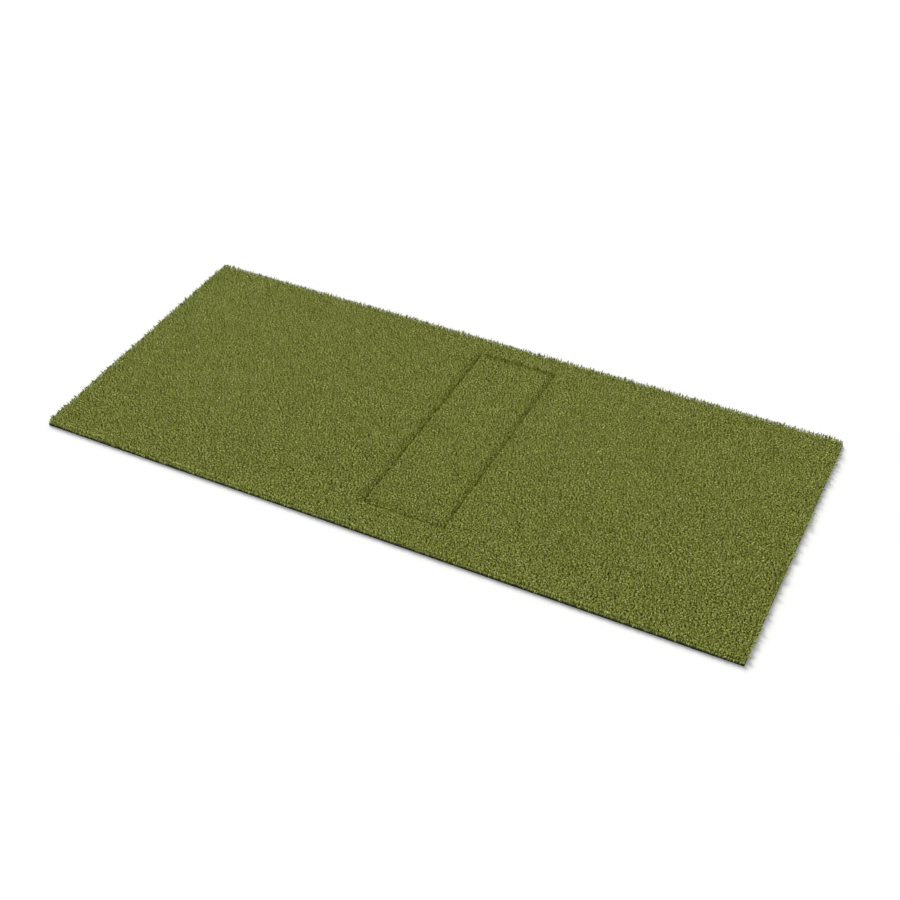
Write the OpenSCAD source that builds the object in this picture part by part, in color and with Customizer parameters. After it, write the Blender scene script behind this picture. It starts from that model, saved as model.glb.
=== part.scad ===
// Golf hitting mat: a long rectangle of tufted turf on a foam underlay, with a
// lift-out hitting strip that sits in a pocket cut through the turf and the foam.
// Lengths are in millimetres. X runs along the mat, Y runs from the front edge to
// the back edge, Z is up. The origin is the middle of the underside.

/* [Mat] */
// Length of the mat, along X
mat_length = 2743; // [1800:1:3660]
// Width of the mat, along Y
mat_width = 1219; // [1150:1:1525]

/* [Layers] */
// Thickness of the non-slip rubber sheet underneath
rubber_t = 1.2; // [0.8:0.1:3]
// Thickness of the foam underlay
foam_t = 6.2; // [5:0.1:15]
// Thickness of the coating that locks the tufts
coating_t = 1.0; // [0.5:0.1:1.5]
// Thickness of the woven cloth that the tufts are stitched through
cloth_t = 0.6; // [0.4:0.1:1]
// Height of the turf blades above the woven cloth
pile_h = 17.5; // [10:0.5:40]

/* [Hitting strip] */
// Width of the hitting strip, along X
strip_width = 318; // [250:1:400]
// Length of the hitting strip, along Y
strip_length = 990; // [600:1:1000]
// Strip's middle, to the right of the mat's middle
strip_x = 84; // [-200:1:200]
// Strip's middle, behind the mat's middle
strip_y = 17; // [-30:1:30]
// Corner radius of the strip
strip_corner_r = 8; // [3:0.5:15]
// Room between the strip and the pocket wall, on each side
pocket_gap = 1; // [0.5:0.1:3]
// Thickness of the felt sheet under the strip
felt_t = 0.8; // [0.5:0.1:1.5]

/* [Groove] */
// Width of the sloping bank on each side of the seam in the pile
bank_w = 10; // [4:0.5:20]
// Depth that the bank falls below the pile's top
bank_d = 5; // [2:0.5:8]
// Distance from each cut edge of the cloth to its nearest blades
pile_setback = 1; // [0.5:0.1:3]

/* [Hook and loop tape] */
// Width of the tape
tape_w = 50; // [25:1:75]
// Thickness of each half of the tape, pressed together
tape_t = 0.8; // [0.5:0.1:1]
// Distance from the strip's edge to the tape
tape_inset = 15; // [8:1:30]
// Space between the side tapes and the end tapes
tape_space = 10; // [5:1:30]

/* [Hidden] */

// Heights of the mat's layers
foam_z = rubber_t;
coating_z = foam_z + foam_t;
cloth_z = coating_z + coating_t;
pile_z = cloth_z + cloth_t;
top_z = pile_z + pile_h;

// Heights of the strip's layers; its cushion takes up what the pocket leaves
hook_z = rubber_t;
loop_z = hook_z + tape_t;
felt_z = loop_z + tape_t;
cushion_z = felt_z + felt_t;
cushion_t = coating_z - cushion_z;

// Lengths of the two kinds of tape
side_tape_l = strip_length - 2 * tape_inset;
end_tape_l = strip_width - 2 * (tape_inset + tape_w + tape_space);
side_tape_x = strip_width / 2 - tape_inset - tape_w / 2;
end_tape_y = strip_length / 2 - tape_inset - tape_w / 2;

// Segments of a full circle at the rounded corners, and the smallest corner radius
corner_fn = 32;
least_corner_r = 1;

// Thickness of the slabs that the sloping pile hulls between, and the cutters' overshoot
slab = 0.01;
cut = 1;

turf_green = [0.42, 0.44, 0.21];
cloth_grey = [0.20, 0.21, 0.17];
coating_grey = [0.11, 0.11, 0.10];
foam_black = [0.05, 0.05, 0.05];
rubber_black = [0.03, 0.03, 0.03];
felt_grey = [0.16, 0.16, 0.17];
tape_black = [0.08, 0.08, 0.09];

// ---- Outlines ----

// A rectangle about the origin with quarter-round corners
module rounded_rectangle(w, l, r) {
    square([w - 2 * r, l], center = true);
    square([w, l - 2 * r], center = true);
    for (sx = [-1, 1], sy = [-1, 1])
        translate([sx * (w / 2 - r), sy * (l / 2 - r)])
            circle(r = r, $fn = corner_fn);
}

// The strip's outline at the strip's place, grown by a distance
module strip_outline(grow) {
    translate([strip_x, strip_y])
        rounded_rectangle(
            strip_width + 2 * grow,
            strip_length + 2 * grow,
            max(strip_corner_r + grow, least_corner_r)
        );
}

// ---- Flat layers ----

// A layer over the whole mat, open at the pocket
module mat_layer(z, t) {
    translate([0, 0, z])
        linear_extrude(t)
            difference() {
                square([mat_length, mat_width], center = true);
                strip_outline(pocket_gap);
            }
}

// A layer of the hitting strip
module strip_layer(z, t) {
    translate([0, 0, z])
        linear_extrude(t)
            strip_outline(0);
}

// ---- Sloping pile ----

// A very thin slab of the strip's outline, whose top is at a height
module strip_slab(grow, top) {
    translate([0, 0, top - slab])
        linear_extrude(slab)
            strip_outline(grow);
}

// ---- Tape ----

// One length of tape beside a long side of the strip: side is -1 left, 1 right
module side_tape(side, z) {
    translate([strip_x + side * side_tape_x, strip_y, z + tape_t / 2])
        cube([tape_w, side_tape_l, tape_t], center = true);
}

// One length of tape at an end of the strip: end is -1 front, 1 back
module end_tape(end, z) {
    translate([strip_x, strip_y + end * end_tape_y, z + tape_t / 2])
        cube([end_tape_l, tape_w, tape_t], center = true);
}

// ---- Pieces of the mat ----

// Rubber sheet under everything; it is also the floor of the pocket
module rubber_sheet() {
    color(rubber_black)
        translate([0, 0, rubber_t / 2])
            cube([mat_length, mat_width, rubber_t], center = true);
}

// Closed-cell foam that gives the mat its cushioning
module foam_underlay() {
    color(foam_black)
        mat_layer(foam_z, foam_t);
}

// Rubbery coating on the back of the turf, which holds the stitches
module turf_coating() {
    color(coating_grey)
        mat_layer(coating_z, coating_t);
}

// Woven cloth that the blades are tufted through
module turf_cloth() {
    color(cloth_grey)
        mat_layer(cloth_z, cloth_t);
}

// The standing blades as one soft solid, falling away towards the seam
module turf_pile() {
    color(turf_green)
        difference() {
            translate([0, 0, pile_z + pile_h / 2])
                cube([mat_length, mat_width, pile_h], center = true);
            translate([0, 0, pile_z - cut])
                linear_extrude(pile_h + 2 * cut)
                    strip_outline(pocket_gap + pile_setback);
            hull() {
                strip_slab(pocket_gap + pile_setback, top_z - bank_d);
                strip_slab(pocket_gap + pile_setback + bank_w, top_z + slab);
            }
        }
}

module hook_tape_left() {
    color(tape_black)
        side_tape(-1, hook_z);
}

module hook_tape_right() {
    color(tape_black)
        side_tape(1, hook_z);
}

module hook_tape_front() {
    color(tape_black)
        end_tape(-1, hook_z);
}

module hook_tape_back() {
    color(tape_black)
        end_tape(1, hook_z);
}

// ---- Pieces of the hitting strip ----

// Felt that closes the underside of the strip and carries the loop tape
module strip_felt() {
    color(felt_grey)
        strip_layer(felt_z, felt_t);
}

// Impact cushion under the strip's turf
module strip_cushion() {
    color(foam_black)
        strip_layer(cushion_z, cushion_t);
}

module strip_coating() {
    color(coating_grey)
        strip_layer(coating_z, coating_t);
}

module strip_cloth() {
    color(cloth_grey)
        strip_layer(cloth_z, cloth_t);
}

// The strip's blades as one soft solid with a sloping rim
module strip_pile() {
    color(turf_green)
        hull() {
            translate([0, 0, pile_z])
                linear_extrude(pile_h - bank_d)
                    strip_outline(-pile_setback);
            strip_slab(-pile_setback - bank_w, top_z);
        }
}

module loop_tape_left() {
    color(tape_black)
        side_tape(-1, loop_z);
}

module loop_tape_right() {
    color(tape_black)
        side_tape(1, loop_z);
}

module loop_tape_front() {
    color(tape_black)
        end_tape(-1, loop_z);
}

module loop_tape_back() {
    color(tape_black)
        end_tape(1, loop_z);
}

rubber_sheet();
foam_underlay();
turf_coating();
turf_cloth();
turf_pile();
hook_tape_left();
hook_tape_right();
hook_tape_front();
hook_tape_back();
strip_felt();
strip_cushion();
strip_coating();
strip_cloth();
strip_pile();
loop_tape_left();
loop_tape_right();
loop_tape_front();
loop_tape_back();
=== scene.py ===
"""Looks of the golf hitting mat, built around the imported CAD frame. Lengths are in metres.

X runs along the mat, Y from its front edge to its back edge, and Z is up. Body "mat" is the
surround with its rubber, foam and cloth layers, and body "strip" is the lift-out hitting strip.
"""

import math

import bpy
import numpy as np
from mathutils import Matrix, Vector


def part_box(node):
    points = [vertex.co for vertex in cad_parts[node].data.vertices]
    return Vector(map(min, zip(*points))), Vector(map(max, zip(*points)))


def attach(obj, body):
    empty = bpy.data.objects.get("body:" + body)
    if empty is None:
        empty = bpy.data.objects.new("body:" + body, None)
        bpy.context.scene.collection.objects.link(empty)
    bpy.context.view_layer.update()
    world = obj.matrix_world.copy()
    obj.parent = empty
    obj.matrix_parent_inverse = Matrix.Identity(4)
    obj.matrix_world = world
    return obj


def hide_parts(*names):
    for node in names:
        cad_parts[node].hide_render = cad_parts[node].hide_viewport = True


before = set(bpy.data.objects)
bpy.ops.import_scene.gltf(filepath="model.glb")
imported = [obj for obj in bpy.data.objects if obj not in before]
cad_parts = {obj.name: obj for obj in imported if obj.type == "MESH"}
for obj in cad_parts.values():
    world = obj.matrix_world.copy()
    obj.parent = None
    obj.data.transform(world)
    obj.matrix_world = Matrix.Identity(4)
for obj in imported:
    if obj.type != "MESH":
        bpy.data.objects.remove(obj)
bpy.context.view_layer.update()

MM = 0.001

TINY = 1e-9  # keeps divisions from zero

# ---- Places, from the frame ----

MAT_LO, MAT_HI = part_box("rubber_sheet")
MAT_MIDDLE = (MAT_LO + MAT_HI) / 2
MAT_HALF = (MAT_HI - MAT_LO) / 2
STRIP_LO, STRIP_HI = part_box("strip_cloth")
STRIP_MIDDLE = (STRIP_LO + STRIP_HI) / 2
STRIP_HALF = (STRIP_HI - STRIP_LO) / 2
PILE_FOOT, PILE_TOP = (corner.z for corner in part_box("turf_pile"))

STRIP_CORNER = 8 * MM  # radius of the strip's corners
POCKET_GAP = 1 * MM  # room between the strip and the wall of its pocket
PILE_SETBACK = 1 * MM  # distance from the cloths' edges at the seam to the nearest blades
POCKET_HALF = STRIP_HALF + Vector((POCKET_GAP, POCKET_GAP, 0))
POCKET_CORNER = STRIP_CORNER + POCKET_GAP

INSIDE, OUTSIDE = -1, 1  # the two sides of the seam: the strip's and the surround's


# ---- Nodes and materials ----


class Tree:
    """A material's node tree, with short ways to add nodes and to join them."""

    def __init__(self, name):
        self.material = bpy.data.materials.new(name)
        self.material.use_nodes = True
        self.nodes = self.material.node_tree.nodes
        self.links = self.material.node_tree.links
        self.shader = self.nodes["Principled BSDF"]

    def set(self, node, inputs):
        """Joins each input to a socket, or gives it a value."""
        for name, value in inputs.items():
            if isinstance(value, bpy.types.NodeSocket):
                self.links.new(value, node.inputs[name])
            else:
                node.inputs[name].default_value = value

    def add(self, kind, inputs=None, **settings):
        node = self.nodes.new("ShaderNode" + kind)
        for name, value in settings.items():
            setattr(node, name, value)
        self.set(node, inputs or {})
        return node

    def place(self, scale=(1, 1, 1), turn=0):
        """The point in the frame, scaled, and turned about Z."""
        where = self.add("TexCoord").outputs["Object"]
        inputs = {"Vector": where, "Scale": scale, "Rotation": (0, 0, turn)}
        return self.add("Mapping", inputs).outputs["Vector"]

    def noise(self, size, detail=3.0, vector=None):
        """Cloudy noise whose features are about size across."""
        inputs = {"Vector": vector or self.place(), "Scale": 1 / size, "Detail": detail}
        return self.add("TexNoise", inputs).outputs["Fac"]

    def ramp(self, value, stops):
        """A colour ramp through (position, colour) stops. A single number stands for a grey."""
        node = self.add("ValToRGB", {"Fac": value})
        elements = node.color_ramp.elements
        while len(elements) < len(stops):
            elements.new(0.5)
        for element, (position, colour) in zip(elements, stops):
            element.position = position
            grey = isinstance(colour, (int, float))
            element.color = (colour,) * 3 + (1,) if grey else tuple(colour) + (1,)
        return node.outputs["Color"]

    def fade(self, value, low, high):
        """A ramp from one colour or grey to another, over the middle of a noise's range."""
        return self.ramp(value, [(0.3, low), (0.7, high)])

    def multiply(self, a, b):
        """Two colours multiplied."""
        node = self.add("Mix", {"Factor": 1.0}, data_type="RGBA", blend_type="MULTIPLY")
        sockets = [socket for socket in node.inputs if socket.type == "RGBA"]
        self.links.new(a, sockets[0])
        self.links.new(b, sockets[1])
        return next(socket for socket in node.outputs if socket.type == "RGBA")

    def waves(self, vector, scale, way, distortion=0.0):
        """Bands across the X or the Y axis."""
        inputs = {"Vector": vector, "Scale": scale, "Distortion": distortion}
        return self.add("TexWave", inputs, bands_direction=way).outputs["Fac"]

    def maths(self, operation, a, b):
        return self.add("Math", {0: a, 1: b}, operation=operation).outputs["Value"]

    def bump(self, height, depth, strength=1.0):
        inputs = {"Height": height, "Distance": depth, "Strength": strength}
        return self.add("Bump", inputs).outputs["Normal"]

    def finish(self, **inputs):
        """Sets the shader's inputs, with _ for each space in a name, and returns the material."""
        self.set(self.shader, {k.replace("_", " "): v for k, v in inputs.items()})
        return self.material


# the exporter keeps a layer of this name as it is
UV_LAYER = "OFBake"  # name of the UV layer that holds each blade's tone and height
TONE_CELL = 1 / 40  # width of one blade's own strip of the layer

# The blades' colours by tone, and the painted shade that they are multiplied by from foot to tip:
# darkest at the foot, where shade falls between the blades
TURF_TONES = [
    (0.0, (0.280, 0.315, 0.037)),
    (0.3, (0.445, 0.490, 0.083)),
    (0.7, (0.640, 0.695, 0.195)),
    (1.0, (0.815, 0.865, 0.360)),
]
TURF_ROOT_SHADE = [
    (0.0, (0.28, 0.29, 0.12)),
    (0.35, (0.50, 0.51, 0.30)),
    (0.7, (0.95, 0.95, 0.92)),
    (1.0, (1.0, 1.0, 1.0)),
]
STREAK_SCALE = 260.0
FOAM_CELL = 1.1 * MM
EMBOSS_SCALE = 50.0  # of the rubber's diamonds
WEAVE_SCALE = 110.0  # of the cloth's yarns
FELT_FIBRE = 0.9 * MM
TAPE_GRAIN = 1.2 * MM


def turf_material():
    """Olive blades: across the UV layer runs the tone, up the layer runs the blade, painted darker
    towards its foot as shade.
    """
    t = Tree("turf")
    uv = t.add("UVMap", uv_map=UV_LAYER).outputs["UV"]
    place = t.add("SeparateXYZ", {"Vector": uv})
    tone = t.ramp(place.outputs["X"], TURF_TONES)
    # painted shade up each blade, darkest at its foot
    height = t.ramp(place.outputs["Y"], TURF_ROOT_SHADE)
    streak = t.add("TexNoise", {"Vector": uv, "Scale": STREAK_SCALE, "Detail": 2.0}).outputs["Fac"]
    return t.finish(
        Base_Color=t.multiply(t.multiply(tone, height), t.fade(streak, 0.88, 1.0)),
        Roughness=t.ramp(streak, [(0.25, 0.48), (0.75, 0.62)]),
        Normal=t.bump(streak, 0.05 * MM, 0.4),
        Specular_IOR_Level=0.25,
    )


def foam_material():
    """Black closed-cell foam, with fine cells."""
    t = Tree("foam")
    cell = t.add("TexVoronoi", {"Vector": t.place(), "Scale": 1 / FOAM_CELL}).outputs["Distance"]
    clouds = t.noise(24 * MM)
    colour = t.ramp(cell, [(0.1, (0.016, 0.016, 0.017)), (0.6, (0.006, 0.006, 0.006))])
    return t.finish(
        Base_Color=t.multiply(colour, t.fade(clouds, 0.7, 1.0)),
        Roughness=t.fade(clouds, 0.86, 0.96),
        Normal=t.bump(cell, 0.3 * MM, 0.7),
    )


def rubber_material():
    """Matt black rubber with a fine diamond emboss, painted darker in the emboss's hollows as shade.
    """
    t = Tree("rubber")
    diamond = t.place(turn=math.pi / 4)
    relief = t.maths("MULTIPLY", *(t.waves(diamond, EMBOSS_SCALE, way) for way in "XY"))
    dust = t.noise(60 * MM, 5.0)
    colour = t.ramp(dust, [(0.3, (0.007, 0.007, 0.007)), (0.75, (0.014, 0.014, 0.015))])
    return t.finish(
        # painted shade in the emboss's hollows
        Base_Color=t.multiply(colour, t.ramp(relief, [(0.1, 0.75), (0.7, 1.0)])),
        Roughness=t.fade(dust, 0.7, 0.85),
        Normal=t.bump(relief, 0.3 * MM, 0.8),
        Specular_IOR_Level=0.3,
    )


def coating_material():
    """Dull black coating, spread along the roll."""
    t = Tree("coating")
    smear = t.noise(6 * MM, 4.0, t.place(scale=(0.12, 1, 1)))
    return t.finish(
        Base_Color=t.fade(smear, (0.009, 0.009, 0.008), (0.020, 0.020, 0.018)),
        Roughness=t.fade(smear, 0.6, 0.8),
        Normal=t.bump(smear, 0.2 * MM, 0.6),
    )


def cloth_material():
    """Coarse cloth woven from flat tape yarns, painted darker between the yarns as shade."""
    t = Tree("cloth")
    weave = t.maths("MAXIMUM", *(t.waves(t.place(), WEAVE_SCALE, way, 0.4) for way in "XY"))
    worn = t.noise(30 * MM)
    # painted shade in the gaps between the yarns
    colour = t.ramp(weave, [(0.2, (0.050, 0.058, 0.008)), (0.9, (0.100, 0.112, 0.018))])
    return t.finish(
        Base_Color=t.multiply(colour, t.fade(worn, 0.75, 1.0)),
        Roughness=t.fade(worn, 0.75, 0.9),
        Normal=t.bump(weave, 0.3 * MM, 0.8),
    )


def felt_material():
    """Dark needled felt."""
    t = Tree("felt")
    fibres = t.noise(FELT_FIBRE, 6.0, t.place(scale=(1, 0.35, 1)))
    clouds = t.noise(18 * MM)
    colour = t.fade(fibres, (0.012, 0.012, 0.014), (0.038, 0.038, 0.042))
    return t.finish(
        Base_Color=t.multiply(colour, t.fade(clouds, 0.8, 1.0)),
        Roughness=t.fade(clouds, 0.88, 0.98),
        Normal=t.bump(fibres, 0.2 * MM, 0.7),
    )


def tape_material(name, dark, light, rough_low, rough_high):
    """Black tape, a little uneven in tone."""
    t = Tree(name)
    grain = t.noise(TAPE_GRAIN, 4.0)
    return t.finish(
        Base_Color=t.fade(grain, dark, light),
        Roughness=t.fade(grain, rough_low, rough_high),
        Normal=t.bump(grain, 0.1 * MM, 0.5),
        Specular_IOR_Level=0.2,
    )


def floor_material():
    """Plain pale floor, very slightly uneven."""
    t = Tree("floor")
    return t.finish(
        Base_Color=t.fade(t.noise(0.4, 2.0), 0.90, 0.91),
        Roughness=0.9,
        Specular_IOR_Level=0.0,
    )


# ---- Meshes ----


def dress(mesh, name, body, material, replaces=()):
    """Links a finished mesh as a piece, with its body and its material."""
    mesh.polygons.foreach_set("use_smooth", np.ones(len(mesh.polygons), bool))
    mesh.materials.append(material)
    piece = bpy.data.objects.new(name, mesh)
    bpy.context.scene.collection.objects.link(piece)
    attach(piece, body)
    if replaces:
        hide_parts(*replaces)
    return piece


def fast_mesh(name, points, corners, sizes):
    """A mesh from a point array, one flat array of face corners, and the size of each face."""
    mesh = bpy.data.meshes.new(name)
    mesh.vertices.add(len(points))
    mesh.vertices.foreach_set("co", points.astype(np.float32).ravel())
    mesh.loops.add(len(corners))
    mesh.loops.foreach_set("vertex_index", corners.astype(np.int32))
    mesh.polygons.add(len(sizes))
    starts = np.concatenate([[0], np.cumsum(sizes)[:-1]])
    mesh.polygons.foreach_set("loop_start", starts.astype(np.int32))
    mesh.update(calc_edges=True)
    return mesh


# ---- Outlines ----


def strip_distance(x, y):
    """Distance from the strip's outline, negative inside it."""
    past_x = np.abs(x - STRIP_MIDDLE.x) - (STRIP_HALF.x - STRIP_CORNER)
    past_y = np.abs(y - STRIP_MIDDLE.y) - (STRIP_HALF.y - STRIP_CORNER)
    outside = np.hypot(np.maximum(past_x, 0), np.maximum(past_y, 0))
    return outside + np.minimum(np.maximum(past_x, past_y), 0) - STRIP_CORNER


def strip_normal(x, y):
    """Unit vector away from the strip, across the nearest part of its outline."""
    dx, dy = x - STRIP_MIDDLE.x, y - STRIP_MIDDLE.y
    past_x = np.abs(dx) - (STRIP_HALF.x - STRIP_CORNER)
    past_y = np.abs(dy) - (STRIP_HALF.y - STRIP_CORNER)
    corner = (past_x > 0) & (past_y > 0)
    nx = np.where(corner, past_x, past_x > past_y)
    ny = np.where(corner, past_y, past_x <= past_y)
    size = np.maximum(np.hypot(nx, ny), TINY)
    return np.stack([np.sign(dx) * nx / size, np.sign(dy) * ny / size], -1)


# ---- Blades ----

SURROUND_SEED, STRIP_SEED, GRAIN_SEED = 100, 200, 31
PIECES_ALONG = 12  # the surround's blades are one mesh for each of this many parts of its length

TUFT_STEP = 5.2 * MM  # spacing of the tufts, both ways
TUFT_JITTER = 0.20  # share of the spacing
TURN_NOISE = 0.35  # how unevenly the tufts are turned, in radians
NAP = (-1.5 * MM, 1.5 * MM)  # how far the tips lean on average
SPREAD = 3.0 * MM  # how far whole tufts lean apart

BLADES_PER_TUFT = 3
ROOT_JITTER = 0.6 * MM
ROOT_ROOM = 0.5 * MM  # least distance from a root to the mat's edge
ROOT_DEPTH = 0.3 * MM  # how far into the cloth the roots go
FAN = (2.5 * MM, 5.0 * MM)  # how far the blades of one tuft lean apart
FAN_NOISE = 0.3  # how unevenly they are turned, in radians

BLADE_ROWS = (0.0, 0.48, 0.80)  # share of the blade's length at each pair of points
BLADE_TAPER = (0.75, 1.0, 0.75)  # share of the blade's width at each pair of points
BLADE_WIDTH = 2.3 * MM
WIDTH_NOISE = (0.8, 1.2)
BOLD_WIDTH = 0.5  # how much wider the boldest blades are, as a share
BLADE_RISE = 2.5  # how early a blade gains its height, so that its tip lies over
BLADE_ARCH = 1.8  # how late a blade gains its lean
BLADE_SWAY = 0.9 * MM  # how far a blade's middle strays
BLADE_TWIST, BLADE_CURL = 1.2, 0.6  # how unevenly blades face, at the foot and on the way up

# Height, as shares of the pile's
MEAN_RISE, RISE_GRAIN, RISE_NOISE = 0.93, 0.04, 0.02
LEAN_COST = 0.12  # height lost, as a share of the lean
LEAST_RISE = 4 * MM
OVER_PILE = 1 * MM  # how far a blade may stand above the pile's top

# The grain: soft patches a little lighter and taller than the rest
GRAIN_CELL = 1.5 * MM
GRAIN_X, GRAIN_Y = 9.5 * MM, 12.5 * MM  # distance from one bright patch to the next
GRAIN_BAND = 0.35  # how far that distance varies, as a share
GRAIN_REACH = 0.6  # where on its lean a blade takes its grain from, as a share

# The mat's cut edges. How bold a blade is, from 0 to 1, is how far it sticks out there
EDGE_ROW, FRONT_ROW = 8 * MM, 5 * MM  # blades this close to a cut edge stand at the edge
MEAN_BOLD, BOLD_GRAIN, BOLD_NOISE = 0.05, 0.7, 0.15
LEAN_KEPT = 0.4  # share of its own lean that a blade keeps at the left, right and back
SPLAYS = (  # for each edge: the axis, the way out, and how far the shyest and boldest blades lean
    ("left", 0, -1, (-1 * MM, 13 * MM)),
    ("right", 0, 1, (-1 * MM, 21 * MM)),
    ("front", 1, -1, (1 * MM, 6 * MM)),
    ("back", 1, 1, (2 * MM, 15 * MM)),
)
REACH = 22 * MM  # furthest a tip leans from its root
RIGHT_FRINGE, FRONT_FRINGE = 19.25 * MM, 3.5 * MM  # how far tips may go past those edges
FRONT_HANG, RIGHT_HANG = (0.75, 1.15), (0.0, 0.7)  # how far tips drop, as shares of the height
BOLD_HANG = 0.3  # how much further the boldest of the front's tips drop

# The seam round the strip, and the bank on each side of it
SEAM_ROOM = 1.0 * MM  # least distance from a tip to the seam's middle
SEAM_LINE = 4 * MM  # half the width of the dark line of painted shade along the seam
WIDE_BANK, FRONT_BANK, NARROW_BANK = 32 * MM, 21 * MM, 8 * MM  # widths of the banks
BANK_DROP = 5 * MM
BACK_DROP = 0.5  # share of that drop at the strip's back end

# Tones, from 0 to 1 along TURF_TONES. The shades below are painted shade taken away from them,
# standing in for the shade down the seam's banks, along the seam and at the mat's edges, and a pair is
# for the shyest and the boldest blades
MEAN_TONE, TONE_GRAIN, TONE_NOISE = 0.44, 0.23, 0.02
# Painted shade down the seam's banks and in a dark line along the seam
SIDE_BANK_SHADE, FRONT_BANK_SHADE = 0.26, 0.14
BACK_BANK_SHADE = {INSIDE: 0.50, OUTSIDE: 0.02}
SEAM_SHADE = 0.36
BACK_SEAM_SHADE = {INSIDE: 0.17, OUTSIDE: 0.0}
# Painted shade at the mat's edges; SECOND_SHADE is below zero, so the front's second row is painted
# lighter
FRONT_SHADE, SECOND_SHADE = 0.02, -0.06
RIGHT_SHADE, FAR_SHADE = (0.02, 0.32), (0.08, 0.33)
PAINTED_EDGE_SHADE, PAINTED_SHADE_WIDTH = 0.16, 15 * MM  # painted shade that fades away from the left and back edges

# Blades that are seen from the side keep out of the darkest painted shade at the foot, and bold ones
# are painted darker at the head, out of its light end
FRONT_FOOT, SECOND_FOOT, RIGHT_FOOT, BANK_FOOT = 0.85, 0.55, 0.6, 0.5
RIGHT_HEAD_SHADE, FAR_HEAD_SHADE = 0.6, 0.5


def between(span, share):
    """The value at a share of the way from a span's first end to its second."""
    return span[0] + (span[1] - span[0]) * share


def smooth(t):
    """From 0 to 1, with a level start and a level end."""
    return t * t * (3 - 2 * t)


def seam_distance(x, y):
    """Distance from the middle of the seam round the strip, negative inside it."""
    return strip_distance(x, y) - POCKET_GAP / 2


def bank(x, y):
    """How far down the seam's bank a point is, from 0 on the flat to 1 at the seam.

    The wide banks are the surround's at the strip's left side, and the strip's own at its
    other three sides.
    """
    distance = seam_distance(x, y)
    left = strip_normal(x, y)[..., 0] < -0.5
    front = strip_normal(x, y)[..., 1] < -0.5
    wide = np.where(distance < 0, ~left, left)
    width = np.where(wide, WIDE_BANK, np.where(front, FRONT_BANK, NARROW_BANK))
    return 1 - np.clip(np.abs(distance) / width, 0, 1)


def unlike_neighbours(rng, shape):
    """Random values of about unit size on a grid, each unlike the ones round it."""
    values = rng.normal(0, 1, shape)
    padded = np.pad(values, 1, mode="wrap")
    high, wide = shape
    around = sum(
        padded[1 + i : 1 + i + high, 1 + j : 1 + j + wide]
        for i in (-1, 0, 1)
        for j in (-1, 0, 1)
        if (i, j) != (0, 0)
    )
    return values - around / 8


def lay_tufts(rng, lo_x, hi_x, lo_y, hi_y):
    """A jittered grid of tufts over a rectangle, as a dict of arrays, one value a tuft."""
    across = round((hi_x - lo_x) / TUFT_STEP)
    along = round((hi_y - lo_y) / TUFT_STEP)
    x = lo_x + (np.arange(across) + 0.5) * (hi_x - lo_x) / across
    y = lo_y + (np.arange(along) + 0.5) * (hi_y - lo_y) / along
    x, y = np.meshgrid(x, y)
    column, row = np.meshgrid(np.arange(across), np.arange(along))
    turn = (column % 2 + 2 * (row % 2)) * math.pi / 6
    tufts = {
        "turn": turn + rng.normal(0, TURN_NOISE, x.shape),
        "x": x + rng.uniform(-TUFT_JITTER, TUFT_JITTER, x.shape) * TUFT_STEP,
        "y": y + rng.uniform(-TUFT_JITTER, TUFT_JITTER, y.shape) * TUFT_STEP,
        "lean_x": NAP[0] + SPREAD * unlike_neighbours(rng, x.shape),
        "lean_y": NAP[1] + SPREAD * unlike_neighbours(rng, x.shape),
    }
    return {name: values.ravel() for name, values in tufts.items()}


def make_grain():
    """Values of about unit size on a fine grid over the mat, that rise and fall a grain apart."""
    wide = round((MAT_HI.x - MAT_LO.x) / GRAIN_CELL)
    high = round((MAT_HI.y - MAT_LO.y) / GRAIN_CELL)
    values = np.random.default_rng(GRAIN_SEED).normal(0, 1, (high, wide))
    across = np.fft.fftfreq(wide, GRAIN_CELL)[None, :] * GRAIN_X
    along = np.fft.fftfreq(high, GRAIN_CELL)[:, None] * GRAIN_Y
    band = np.exp(-(((np.hypot(across, along) - 1) / GRAIN_BAND) ** 2))
    grain = np.fft.ifft2(np.fft.fft2(values) * band).real
    return grain / grain.std()


def grain_at(x, y):
    """The grain at places on the mat."""
    high, wide = GRAIN.shape
    column = ((x - MAT_LO.x) / GRAIN_CELL).astype(int)
    row = ((y - MAT_LO.y) / GRAIN_CELL).astype(int)
    return GRAIN[np.clip(row, 0, high - 1), np.clip(column, 0, wide - 1)]


GRAIN = make_grain()


def kept(tufts, keep):
    """The tufts for which keep is true."""
    return {name: values[keep] for name, values in tufts.items()}


def edge_rows(x, y):
    """Which blades stand at each of the mat's edges, and which in the front's second row."""
    left = x - MAT_LO.x < EDGE_ROW
    back = MAT_HI.y - y < EDGE_ROW
    front = y - MAT_LO.y < FRONT_ROW
    return {
        "left": left,
        "right": MAT_HI.x - x < EDGE_ROW,
        "back": back,
        "far": left | back,
        "front": front,
        "second": (y - MAT_LO.y < 2 * FRONT_ROW) & ~front,
    }


def boldness(rng, x, y):
    """How far out each blade at the mat's edges goes, from 0 to 1, in clumps along the edge."""
    edge_x = np.where(x < MAT_MIDDLE.x, MAT_LO.x, MAT_HI.x)
    edge_y = np.where(y < MAT_MIDDLE.y, MAT_LO.y, MAT_HI.y)
    clump_x = np.where(np.abs(x - edge_x) < EDGE_ROW, edge_x, x)
    clump_y = np.where(np.abs(y - edge_y) < EDGE_ROW, edge_y, y)
    clump = grain_at(clump_x, clump_y)
    return np.clip(MEAN_BOLD + BOLD_GRAIN * clump + rng.normal(0, BOLD_NOISE, len(x)), 0, 1)


def splay_edges(lean, rows, bold):
    """Leans the blades at the mat's edges outwards, the bold ones further."""
    lean[rows["left"] | rows["right"] | rows["back"]] *= LEAN_KEPT
    for edge, axis, way, splay in SPLAYS:
        here = rows[edge]
        lean[here, axis] += way * between(splay, bold[here])
    reach = np.hypot(*lean.T)
    lean *= np.minimum(1, REACH / np.maximum(reach, TINY))[:, None]
    return lean


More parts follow.
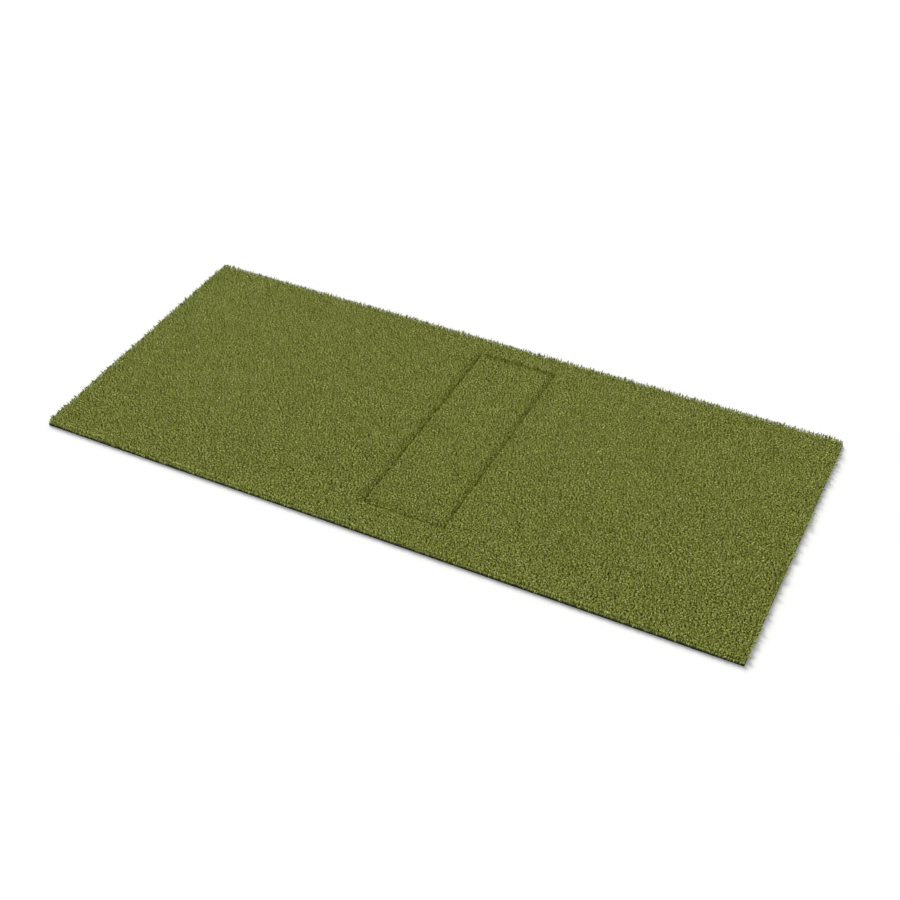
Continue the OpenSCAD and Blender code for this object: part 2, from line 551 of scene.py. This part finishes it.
def lean_tips(x, y, lean, own_side):
    """Keeps each blade's tip, which is lean away from its root, on its own side of the seam.

    It also keeps the tips from going too far past the right and front edges.
    """
    normal = strip_normal(x, y) * -own_side
    room = np.maximum(own_side * seam_distance(x, y) - SEAM_ROOM, 0)
    over = np.maximum((lean * normal).sum(-1) - room, 0)
    lean -= normal * over[:, None]
    lean[:, 0] = np.minimum(lean[:, 0], MAT_HI.x - x + RIGHT_FRINGE)
    lean[:, 1] = np.maximum(lean[:, 1], MAT_LO.y - y - FRONT_FRINGE)
    return lean


def ribbon_points(rng, x, y, lean, rise, hang, width):
    """Points of ribbon blades that rise from the cloth and curl over, in pairs up to each tip."""
    count, rows = len(x), len(BLADE_ROWS)
    spots = np.array(BLADE_ROWS + (1.0,))
    across = spots**BLADE_ARCH
    upward = 1 - (1 - spots) ** BLADE_RISE
    line = np.empty((count, rows + 1, 3))
    line[:, :, 0] = x[:, None] + lean[:, :1] * across
    line[:, :, 1] = y[:, None] + lean[:, 1:] * across
    line[:, :, 2] = PILE_FOOT - ROOT_DEPTH + rise[:, None] * upward - hang[:, None] * spots**2
    line[:, 1, :2] += rng.normal(0, BLADE_SWAY, (count, 2))
    twist = rng.normal(0, BLADE_TWIST, count)
    curl = rng.normal(0, BLADE_CURL, count)
    facing = np.arctan2(lean[:, 1], lean[:, 0]) + math.pi / 2 + twist
    turned = facing[:, None] + curl[:, None] * spots[:rows]
    side = np.stack([np.cos(turned), np.sin(turned), np.zeros_like(turned)], -1)
    side *= (width[:, None] * np.array(BLADE_TAPER) / 2)[..., None]
    points = np.empty((count, 2 * rows + 1, 3))
    points[:, 0 : 2 * rows : 2] = line[:, :rows] - side
    points[:, 1 : 2 * rows : 2] = line[:, :rows] + side
    points[:, -1] = line[:, -1]
    return points


def ribbon_layer(tone, foot, head):
    """Where each blade's points lie in the UV layer: its tone across, its height up."""
    count, rows = len(tone), len(BLADE_ROWS)
    start = np.clip(tone, 0, 1) * (1 - TONE_CELL)
    spots = foot[:, None] + (head - foot)[:, None] * np.array(BLADE_ROWS)
    layer = np.empty((count, 2 * rows + 1, 2))
    layer[:, 0 : 2 * rows : 2, 0] = start[:, None]
    layer[:, 1 : 2 * rows : 2, 0] = start[:, None] + TONE_CELL
    layer[:, -1, 0] = start + TONE_CELL / 2
    layer[:, 0 : 2 * rows : 2, 1] = spots
    layer[:, 1 : 2 * rows : 2, 1] = spots
    layer[:, -1, 1] = head
    return layer


def ribbon_mesh(name, points, layer):
    """A mesh of ribbon blades, each of a few quads and a triangle at the tip."""
    count, per_blade = points.shape[:2]
    rows = per_blade // 2
    quads = [[2 * r, 2 * r + 1, 2 * r + 3, 2 * r + 2] for r in range(rows - 1)]
    faces = quads + [[2 * rows - 2, 2 * rows - 1, 2 * rows]]
    one = np.concatenate([np.array(face) for face in faces])
    corners = (np.arange(count)[:, None] * per_blade + one).ravel()
    sizes = np.tile([len(face) for face in faces], count)
    mesh = fast_mesh(name, points.reshape(-1, 3), corners, sizes)
    uv = mesh.uv_layers.new(name=UV_LAYER)
    spread = layer.reshape(-1, 2)[corners]
    uv.uv.foreach_set("vector", spread.astype(np.float32).ravel())
    return mesh


def fan_out(rng, owner, tuft_turn):
    """How far each blade leans from the middle of its tuft: a tuft's blades lean evenly apart."""
    turn = tuft_turn[owner]
    turn += 2 * math.pi / BLADES_PER_TUFT * (np.arange(len(owner)) % BLADES_PER_TUFT)
    turn += rng.normal(0, FAN_NOISE, len(owner))
    out = rng.uniform(*FAN, len(owner))
    return np.stack([np.cos(turn), np.sin(turn)], -1) * out[:, None]


def blade_rise(rng, x, y, lean, grain):
    """Each blade's height: less down the seam's bank, and less where it leans far."""
    pile = PILE_TOP - PILE_FOOT
    rise = pile * (MEAN_RISE + RISE_GRAIN * grain + rng.normal(0, RISE_NOISE, len(x)))
    at_back = strip_normal(x, y)[:, 1] > 0.5
    rise -= BANK_DROP * smooth(bank(x, y)) * np.where(at_back, BACK_DROP, 1)
    rise -= LEAN_COST * np.hypot(*lean.T)
    return np.clip(rise, LEAST_RISE, pile + OVER_PILE)


def blade_tone(rng, x, y, own_side, rows, grain, bold):
    """Each blade's tone, with painted shade taken away: darker down the seam's bank, along the seam
    and at the mat's edges, and a little lighter in the front's second row.
    """
    facing = strip_normal(x, y)[:, 1]
    ends = [facing > 0.5, facing < -0.5]
    bank_shade = np.select(ends, [BACK_BANK_SHADE[own_side], FRONT_BANK_SHADE], SIDE_BANK_SHADE)
    seam_shade = np.where(facing > 0.5, BACK_SEAM_SHADE[own_side], SEAM_SHADE)
    tone = MEAN_TONE + TONE_GRAIN * grain + rng.normal(0, TONE_NOISE, len(x))
    # painted shade down the seam's bank and in a dark line along the seam
    tone -= bank_shade * bank(x, y)
    tone -= seam_shade * np.exp(-((seam_distance(x, y) / SEAM_LINE) ** 2))
    # painted shade at the mat's edges, and painted light on the front's second row
    tone -= FRONT_SHADE * rows["front"] + SECOND_SHADE * rows["second"]
    tone -= between(RIGHT_SHADE, bold) * rows["right"] + between(FAR_SHADE, bold) * rows["far"]
    to_far_edge = np.minimum(MAT_HI.y - y, x - MAT_LO.x)
    return tone - PAINTED_EDGE_SHADE * np.exp(-to_far_edge / PAINTED_SHADE_WIDTH)


def shown_heights(x, y, own_side, rows, bold):
    """The heights, from 0 to 1, that each blade's foot and head take their painted shade from."""
    at_back = strip_normal(x, y)[:, 1] > 0.5
    far_bank = (own_side == OUTSIDE) & at_back & (seam_distance(x, y) < EDGE_ROW)
    places = [rows["front"], rows["second"], rows["right"], far_bank]
    foot = np.select(places, [FRONT_FOOT, SECOND_FOOT, RIGHT_FOOT, BANK_FOOT], 0.0)
    head_shade = np.select([rows["right"], rows["far"]], [RIGHT_HEAD_SHADE, FAR_HEAD_SHADE], 0.0)
    # bold blades at the edges are painted darker up to the tip
    head = 1 - head_shade * np.sqrt(bold)
    return np.minimum(foot, head), head


def blade_hang(rng, rows, bold):
    """How far each tip drops over the mat's front or right edge, as a share of the height."""
    at_front = rng.uniform(*FRONT_HANG, len(bold)) + BOLD_HANG * bold
    at_right = rng.uniform(*RIGHT_HANG, len(bold)) * np.sqrt(bold)
    return np.select([rows["front"], rows["right"]], [at_front, at_right], 0)


def blade_width(rng, rows, bold):
    """Each blade's width: the bold ones at the left, right and back edges are wider."""
    wider = 1 + BOLD_WIDTH * bold * (rows["right"] | rows["far"])
    return BLADE_WIDTH * rng.uniform(*WIDTH_NOISE, len(bold)) * wider


def grow_blades(rng, tufts, own_side, name):
    """A mesh of turf: each tuft is a bundle of ribbon blades."""
    owner = np.repeat(np.arange(len(tufts["x"])), BLADES_PER_TUFT)
    x = tufts["x"][owner] + rng.normal(0, ROOT_JITTER, len(owner))
    y = tufts["y"][owner] + rng.normal(0, ROOT_JITTER, len(owner))
    x = np.clip(x, MAT_LO.x + ROOT_ROOM, MAT_HI.x - ROOT_ROOM)
    y = np.clip(y, MAT_LO.y + ROOT_ROOM, MAT_HI.y - ROOT_ROOM)
    rows = edge_rows(x, y)
    bold = boldness(rng, x, y)
    lean = np.stack([tufts["lean_x"], tufts["lean_y"]], -1)[owner]
    lean = splay_edges(lean + fan_out(rng, owner, tufts["turn"]), rows, bold)
    lean = lean_tips(x, y, lean, own_side)
    grain = grain_at(x + GRAIN_REACH * lean[:, 0], y + GRAIN_REACH * lean[:, 1])
    rise = blade_rise(rng, x, y, lean, grain)
    tone = blade_tone(rng, x, y, own_side, rows, grain, bold)
    hang = blade_hang(rng, rows, bold) * rise
    width = blade_width(rng, rows, bold)
    points = ribbon_points(rng, x, y, lean, rise, hang, width)
    layer = ribbon_layer(tone, *shown_heights(x, y, own_side, rows, bold))
    return ribbon_mesh(name, points, layer)


def grow_surround(material):
    """The surround's blades, in pieces side by side along the mat."""
    step = (MAT_HI.x - MAT_LO.x) / PIECES_ALONG
    for k in range(PIECES_ALONG):
        rng = np.random.default_rng(SURROUND_SEED + k)
        lo_x = MAT_LO.x + k * step
        tufts = lay_tufts(rng, lo_x, lo_x + step, MAT_LO.y, MAT_HI.y)
        outside = strip_distance(tufts["x"], tufts["y"]) > POCKET_GAP + PILE_SETBACK
        name = f"turf_blades_{k + 1:02d}"
        mesh = grow_blades(rng, kept(tufts, outside), OUTSIDE, name)
        dress(mesh, name, "mat", material, ["turf_pile"])


def grow_strip(material):
    """The hitting strip's blades."""
    rng = np.random.default_rng(STRIP_SEED)
    tufts = lay_tufts(rng, STRIP_LO.x, STRIP_HI.x, STRIP_LO.y, STRIP_HI.y)
    inside = strip_distance(tufts["x"], tufts["y"]) < -PILE_SETBACK
    mesh = grow_blades(rng, kept(tufts, inside), INSIDE, "strip_blades")
    dress(mesh, "strip_blades", "strip", material, ["strip_pile"])


# ---- Layers ----

FOAM_SEED, CLOTH_SEED, FELT_SEED = 300, 310, 320

POINT_STEP = 4 * MM  # usual distance between the points of an outline
CROWDING = 0.13  # how far the points crowd towards the corners
RING_SHARES = (0.05, 0.5, 0.95)  # where rows of points lie, from the mat's edge to the pocket
SLAB_SHARES = (0.1, 0.6, 0.97)  # where rows of points lie, from a slab's spine to its edge

# Cut edges: rows of points from one face to the other, how rough they are, how far they bulge
UNDERLAY_EDGE = (7, 0.12 * MM, 0.2 * MM)
CUSHION_EDGE = (6, 0.12 * MM, 0.3 * MM)
CLOTH_EDGE = (3, 0.12 * MM, 0.1 * MM)
FELT_EDGE = (4, 0.15 * MM, 0.1 * MM)
TAPE_EDGE = (3, 0.03 * MM, 0)

YARN_STEP = 3 * MM
YARN_INSET = 0.7 * MM  # how far inside the cloth's edge the yarns are counted from
YARN_ROOT = 0.8 * MM  # how far into the cloth each yarn's end goes
YARN_REACH = (0.3 * MM, 1.3 * MM)
YARN_WIDTH = (0.35 * MM, 0.6 * MM)  # from the yarn's middle to its side
YARN_SAG = (-0.25 * MM, 0.15 * MM)
YARN_HALF_T = 0.08 * MM
YARN_SKEW = 0.25  # how far yarns point sideways, as a share of their reach


def places_round(half, step=POINT_STEP, crowding=CROWDING):
    """Places round an outline, from 0 to 4, where each whole number is the middle of a corner."""
    places = []
    for side, length in enumerate((half.x, half.y, half.x, half.y)):
        share = np.linspace(0, 1, math.ceil(2 * length / step), endpoint=False)
        places.append(side + share - crowding * np.sin(2 * math.pi * share))
    return np.concatenate(places)


def outline(middle, half, corner, places):
    """Points of a rounded rectangle at those places, and the unit vectors out of it."""
    side = np.floor(places + TINY).astype(int)
    straight = 2 * np.where(side % 2, half.y, half.x) - 2 * corner
    depth = np.where(side % 2, half.x, half.y) - corner
    bend = math.pi / 4 * corner
    walked = (places - side) * (straight + 2 * bend) - bend
    angle = np.minimum(walked, 0) + np.maximum(walked - straight, 0)
    angle /= max(corner, TINY)
    along = np.clip(walked, 0, straight) - straight / 2 + corner * np.sin(angle)
    across = depth + corner * np.cos(angle)
    heading = side * math.pi / 2
    ahead = np.stack([np.cos(heading), np.sin(heading)], -1)
    outward = np.stack([np.sin(heading), -np.cos(heading)], -1)
    points = np.array(middle[:2]) + along[:, None] * ahead + across[:, None] * outward
    normals = np.sin(angle)[:, None] * ahead + np.cos(angle)[:, None] * outward
    return points, normals


def at_height(points, z):
    """Flat points, lifted to a height."""
    return np.column_stack([points, np.broadcast_to(z, len(points))])


def cut_edge(rng, points, normals, z_from, z_to, rows, rough, bulge):
    """Rows of points across a cut edge, which bulges a little and is rough."""
    edge = []
    for share in np.linspace(0, 1, rows):
        out = rng.normal(0, rough, len(points))
        out = (out + np.roll(out, 1) + np.roll(out, -1)) / math.sqrt(3)
        out += bulge * math.sin(math.pi * share)
        out -= rough if share in (0, 1) else 0
        edge.append(at_height(points + normals * out[:, None], z_from + share * (z_to - z_from)))
    return edge


def woven_rows(rows, closed):
    """Faces through rows of points that go round, with the last row joined to the first if closed."""
    high, wide = len(rows), len(rows[0])
    here = np.arange(high * wide).reshape(high, wide)
    ahead = np.roll(here, -1, axis=1)
    quads = np.stack([here, ahead, np.roll(ahead, -1, axis=0), np.roll(here, -1, axis=0)], -1)
    return quads if closed else quads[:-1]


def ring_mesh(name, rng, lo, hi, edge):
    """A layer of the surround from height lo to hi: a rectangle with the pocket cut through."""
    places = places_round(MAT_HALF)
    outer, out = outline(MAT_MIDDLE, MAT_HALF, 0, places)
    inner, inward = outline(STRIP_MIDDLE, POCKET_HALF, POCKET_CORNER, places)
    middle_rows = [outer + (inner - outer) * share for share in RING_SHARES]
    rows = cut_edge(rng, outer, out, lo, hi, *edge)
    rows += [at_height(points, hi) for points in middle_rows]
    rows += cut_edge(rng, inner, -inward, hi, lo, *edge)
    rows += [at_height(points, lo) for points in reversed(middle_rows)]
    quads = woven_rows(rows, True)
    return fast_mesh(name, np.concatenate(rows), quads.ravel(), np.full(quads.size // 4, 4))


def slab_mesh(name, rng, middle, half, corner, lo, hi, edge):
    """A rounded rectangular slab from height lo to hi."""
    middle = np.array(middle[:2])
    points, normals = outline(middle, half, corner, places_round(half))
    length = Vector((max(half.x - half.y, 0), max(half.y - half.x, 0)))
    spine = np.clip(points - middle, -length, length) + middle
    inner = [spine + (points - spine) * share for share in SLAB_SHARES]
    rows = [at_height(row, lo) for row in inner]
    rows += cut_edge(rng, points, normals, lo, hi, *edge)
    rows += [at_height(row, hi) for row in reversed(inner)]
    quads = woven_rows(rows, False)
    wide = len(points)
    last = np.arange(wide) + (len(rows) - 1) * wide
    corners = np.concatenate([quads.ravel(), np.arange(wide)[::-1], last])
    sizes = np.append(np.full(quads.size // 4, 4), [wide, wide])
    return fast_mesh(name, np.concatenate(rows), corners, sizes)


def strip_slab(name, rng, node, edge):
    """A slab with the strip's outline, as thick as a CAD node."""
    lo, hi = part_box(node)
    return slab_mesh(name, rng, STRIP_MIDDLE, STRIP_HALF, STRIP_CORNER, lo.z, hi.z, edge)


BOX_FACES = np.array(
    [[0, 1, 3, 2], [4, 6, 7, 5], [0, 4, 5, 1], [2, 3, 7, 6], [0, 2, 6, 4], [1, 5, 7, 3]]
)


def yarn_mesh(name, rng, edges, z):
    """Cut ends of the cloth's flat yarns, that stick out of its cut edges at height z."""
    points = np.concatenate([points for points, normals in edges])
    normals = np.concatenate([normals for points, normals in edges])
    count = len(points)
    beside = np.stack([-normals[:, 1], normals[:, 0]], -1)
    reach = rng.uniform(*YARN_REACH, count)
    skew = rng.normal(0, YARN_SKEW, count)
    width = rng.uniform(*YARN_WIDTH, count)
    sag = rng.uniform(*YARN_SAG, count)
    ends = ((np.full(count, -YARN_ROOT), np.zeros(count)), (reach, sag))
    box = np.empty((count, 2, 2, 2, 3))
    for i, (out, drop) in enumerate(ends):
        middle = points + normals * out[:, None] + beside * (skew * out)[:, None]
        for j, way in enumerate((-1, 1)):
            box[:, i, j, :, :2] = (middle + beside * (way * width)[:, None])[:, None]
            box[:, i, j, 0, 2] = z + drop - YARN_HALF_T
            box[:, i, j, 1, 2] = z + drop + YARN_HALF_T
    corners = np.arange(count)[:, None] * 8 + BOX_FACES.ravel()
    return fast_mesh(name, box.reshape(-1, 3), corners.ravel(), np.full(count * 6, 4))


def lay_foam(material):
    """The underlay and the strip's cushion."""
    rng = np.random.default_rng(FOAM_SEED)
    lo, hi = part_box("foam_underlay")
    mesh = ring_mesh("underlay_foam", rng, lo.z, hi.z, UNDERLAY_EDGE)
    piece = dress(mesh, "underlay_foam", "mat", material, ["foam_underlay"])
    mesh = strip_slab("impact_foam", rng, "strip_cushion", CUSHION_EDGE)
    piece = dress(mesh, "impact_foam", "strip", material, ["strip_cushion"])


def lay_cloth(material):
    """The surround's woven cloth and then the strip's, with the yarns that stick out of them."""
    rng = np.random.default_rng(CLOTH_SEED)
    lo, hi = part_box("turf_cloth")
    middle = (lo.z + hi.z) / 2
    mesh = ring_mesh("backing_cloth", rng, lo.z, hi.z, CLOTH_EDGE)
    cloth = dress(mesh, "backing_cloth", "mat", material, ["turf_cloth"])
    outer = outline(MAT_MIDDLE, MAT_HALF, 0, places_round(MAT_HALF, YARN_STEP, 0))
    places = places_round(POCKET_HALF, YARN_STEP, 0)
    inner, inward = outline(STRIP_MIDDLE, POCKET_HALF, POCKET_CORNER, places)
    edges = [outer, (inner + inward * YARN_INSET, -inward)]
    mesh = yarn_mesh("backing_yarns", rng, edges, middle)
    yarns = dress(mesh, "backing_yarns", "mat", material)
    mesh = strip_slab("strip_backing", rng, "strip_cloth", CLOTH_EDGE)
    cloth = dress(mesh, "strip_backing", "strip", material, ["strip_cloth"])
    places = places_round(STRIP_HALF, YARN_STEP, 0)
    edge, out = outline(STRIP_MIDDLE, STRIP_HALF, STRIP_CORNER, places)
    mesh = yarn_mesh("strip_yarns", rng, [(edge - out * YARN_INSET, out)], middle)
    yarns = dress(mesh, "strip_yarns", "strip", material)


def lay_felt(material):
    """The felt under the strip, bonded to its cushion."""
    rng = np.random.default_rng(FELT_SEED)
    mesh = strip_slab("strip_underfelt", rng, "strip_felt", FELT_EDGE)
    felt = dress(mesh, "strip_underfelt", "strip", material, ["strip_felt"])


# ---- Hook and loop tape ----

TAPE_SEED = 330
TAPE_ENDS = ("left", "right", "front", "back")
TAPE_CORNER = 1.5 * MM
TAPE_BASE = 0.3 * MM  # thickness of the tape under its hooks or loops
TAPE_INSET = 1.5 * MM  # distance from the tape's edge to its nearest hooks or loops
RIBBON_JITTER = 0.12  # share of the spacing of the hooks or loops
RIBBON_HEIGHT = (0.8, 1.0)

# Each path is a side view of one ribbon: forwards and up, as shares of its height
HOOKS = {
    "path": ((0, 0), (0.04, 0.55), (0.22, 0.92), (0.60, 1.0), (0.86, 0.66)),
    "step": 2.5 * MM,
    "width": 0.5 * MM,
    "turn": 0.15,
}
LOOPS = {
    "path": ((-0.8, 0), (-0.75, 0.6), (0.0, 1.0), (0.75, 0.6), (0.8, 0)),
    "step": 3.0 * MM,
    "width": 0.35 * MM,
    "turn": 1.5,
}


def bent_ribbons(name, rng, lo, hi, root, tip, path, step, width, turn):
    """Small bent ribbons in rows over the rectangle from lo to hi, from height root to height tip."""
    across = np.arange(lo.x + TAPE_INSET, hi.x - TAPE_INSET, step)
    along = np.arange(lo.y + TAPE_INSET, hi.y - TAPE_INSET, step)
    x, y = (values.ravel() for values in np.meshgrid(across, along))
    count, reach = len(x), abs(tip - root)
    x = x + rng.normal(0, RIBBON_JITTER * step, count)
    y = y + rng.normal(0, RIBBON_JITTER * step, count)
    angle = rng.normal(0, turn, count)
    path = np.array(path)
    ahead = np.stack([np.cos(angle), np.sin(angle)], -1)
    beside = np.stack([-ahead[:, 1], ahead[:, 0]], -1) * width / 2
    tall = rng.uniform(*RIBBON_HEIGHT, count)
    points = np.empty((count, len(path), 2, 3))
    for way, side in enumerate((-1, 1)):
        base = np.stack([x, y], -1) + side * beside
        points[:, :, way, :2] = base[:, None] + ahead[:, None] * path[None, :, :1] * reach
        points[:, :, way, 2] = root + (tip - root) * tall[:, None] * path[:, 1]
    rows = len(path) - 1
    faces = np.array([[2 * r, 2 * r + 1, 2 * r + 3, 2 * r + 2] for r in range(rows)])
    corners = np.arange(count)[:, None] * 2 * len(path) + faces.ravel()
    return fast_mesh(name, points.reshape(-1, 3), corners.ravel(), np.full(count * rows, 4))


def lay_tape(rng, kind, end, body, material, ribbons, hangs):
    """One length of tape: its base, and the hooks or loops that stand on it or hang from it."""
    node = f"{kind}_tape_{end}"
    lo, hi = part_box(node)
    middle, half = (lo + hi) / 2, (hi - lo) / 2
    back, tip = (hi.z, lo.z) if hangs else (lo.z, hi.z)
    foot = back - TAPE_BASE if hangs else back + TAPE_BASE
    name = f"{kind}_base_{end}"
    mesh = slab_mesh(name, rng, middle, half, TAPE_CORNER, min(foot, back), max(foot, back), TAPE_EDGE)
    tape = dress(mesh, name, body, material, [node])
    name = f"{kind}s_{end}"
    mesh = bent_ribbons(name, rng, lo, hi, foot, tip, **ribbons)
    pile = dress(mesh, name, body, material)


def lay_tapes(hook_material, loop_material):
    """Hook tapes on the pocket's floor, each with a loop tape over it on the strip's felt."""
    rng = np.random.default_rng(TAPE_SEED)
    for end in TAPE_ENDS:
        lay_tape(rng, "hook", end, "mat", hook_material, HOOKS, False)
        lay_tape(rng, "loop", end, "strip", loop_material, LOOPS, True)


# ---- Carried-over CAD nodes ----


def paint_node(name, material):
    """Gives a carried-over CAD node its material."""
    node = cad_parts[name]
    if not node.material_slots:
        node.data.materials.append(material)
    for slot in node.material_slots:
        slot.material = material


# ---- Floor, light and camera ----

CAMERA_AT = (1.889, -3.754, 3.443)
CAMERA_DOWN = math.radians(39.909)
CAMERA_LEFT = math.radians(26.326)
CAMERA_LENS, CAMERA_SENSOR = 57.484, 36  # millimetres
FLOOR_HALF = 600.0
SKY_COLOUR, SKY_STRENGTH = (0.97, 0.98, 1.0, 1), 0.60
KEY_FROM = (-0.54, 0.55, 0.68)  # the way from the mat to the key light
KEY_WIDTH = math.radians(30)
KEY_COLOUR, KEY_STRENGTH = (1.0, 0.99, 0.96), 2.65


def make_camera():
    data = bpy.data.cameras.new("camera")
    data.lens = CAMERA_LENS
    data.sensor_width = CAMERA_SENSOR
    camera = bpy.data.objects.new("camera", data)
    camera.location = CAMERA_AT
    camera.rotation_euler = (math.pi / 2 - CAMERA_DOWN, 0, CAMERA_LEFT)
    bpy.context.scene.collection.objects.link(camera)
    bpy.context.scene.camera = camera


def make_floor():
    mesh = bpy.data.meshes.new("floor")
    corners = [(x * FLOOR_HALF, y * FLOOR_HALF, 0) for x, y in ((-1, -1), (1, -1), (1, 1), (-1, 1))]
    mesh.from_pydata(corners, [], [(0, 1, 2, 3)])
    mesh.materials.append(floor_material())
    floor = bpy.data.objects.new("floor", mesh)
    bpy.context.scene.collection.objects.link(floor)


def make_light():
    world = bpy.data.worlds.new("studio")
    world.use_nodes = True
    background = world.node_tree.nodes["Background"]
    background.inputs["Color"].default_value = SKY_COLOUR
    background.inputs["Strength"].default_value = SKY_STRENGTH
    bpy.context.scene.world = world
    data = bpy.data.lights.new("key", "SUN")
    data.energy = KEY_STRENGTH
    data.angle = KEY_WIDTH
    data.color = KEY_COLOUR
    key = bpy.data.objects.new("key", data)
    key.rotation_euler = Vector(KEY_FROM).to_track_quat("Z", "Y").to_euler()
    bpy.context.scene.collection.objects.link(key)


bpy.context.scene.view_settings.view_transform = "Standard"

make_camera()
make_floor()
make_light()
turf = turf_material()
grow_surround(turf)
grow_strip(turf)
lay_foam(foam_material())
lay_cloth(cloth_material())
lay_felt(felt_material())
lay_tapes(
    tape_material("hook_tape", 0.005, 0.012, 0.60, 0.75),
    tape_material("loop_tape", 0.010, 0.024, 0.80, 0.95),
)
coating = coating_material()
paint_node("rubber_sheet", rubber_material())
paint_node("turf_coating", coating)
paint_node("strip_coating", coating)
